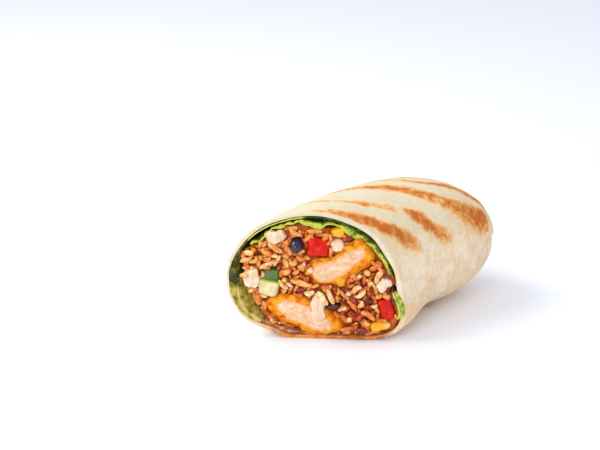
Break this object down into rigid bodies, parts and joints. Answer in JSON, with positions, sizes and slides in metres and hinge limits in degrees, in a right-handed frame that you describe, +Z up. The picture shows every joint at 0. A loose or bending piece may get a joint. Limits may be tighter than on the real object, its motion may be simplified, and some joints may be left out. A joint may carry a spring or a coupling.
{
  "type": "crispy chicken wrap half",
  "caption": "Half of a grilled tortilla wrap, cut on the slant, with breaded chicken strips, seasoned rice, salad leaves and diced vegetables in the cut.",
  "frame": {"origin": "on the table, under the middle of the wrap's box", "axes": "+Y along the roll towards the folded end, the cut faces -Y, +Z up"},
  "size_m": [0.072, 0.1264, 0.0585],
  "materials": {
    "tortilla": "matt wheat flour flatbread with toasted press marks",
    "rice": "moist seasoned rice, soft gloss",
    "chicken": "fried crumb coating round pale meat",
    "leaf": "fresh salad leaf, waxy",
    "red_pepper": "raw red pepper, waxy skin and wet flesh",
    "green_vegetable": "dark waxy skin over pale flesh",
    "black_bean": "smooth boiled bean skin",
    "corn": "plump boiled kernel",
    "cheese": "crumbled soft white cheese"
  },
  "bodies": {
    "root": {"tortilla": "tortilla", "rice": "rice", "leaf_roof": "leaf", "leaf_fold": "leaf", "leaf_left": "leaf", "leaf_left_fold": "leaf", "leaf_right": "leaf", "chicken_low": "chicken", "chicken_high": "chicken", "pepper_top": "red_pepper", "pepper_right": "red_pepper", "green_dice": "green_vegetable", "black_bean": "black_bean", "bean_low": "black_bean", "bean_right": "black_bean", "corn_top": "corn", "corn_right": "corn", "cheese_top": "cheese", "cheese_high": "cheese", "cheese_left": "cheese", "cheese_right": "cheese", "cheese_low": "cheese"}
  },
  "joints": []
}
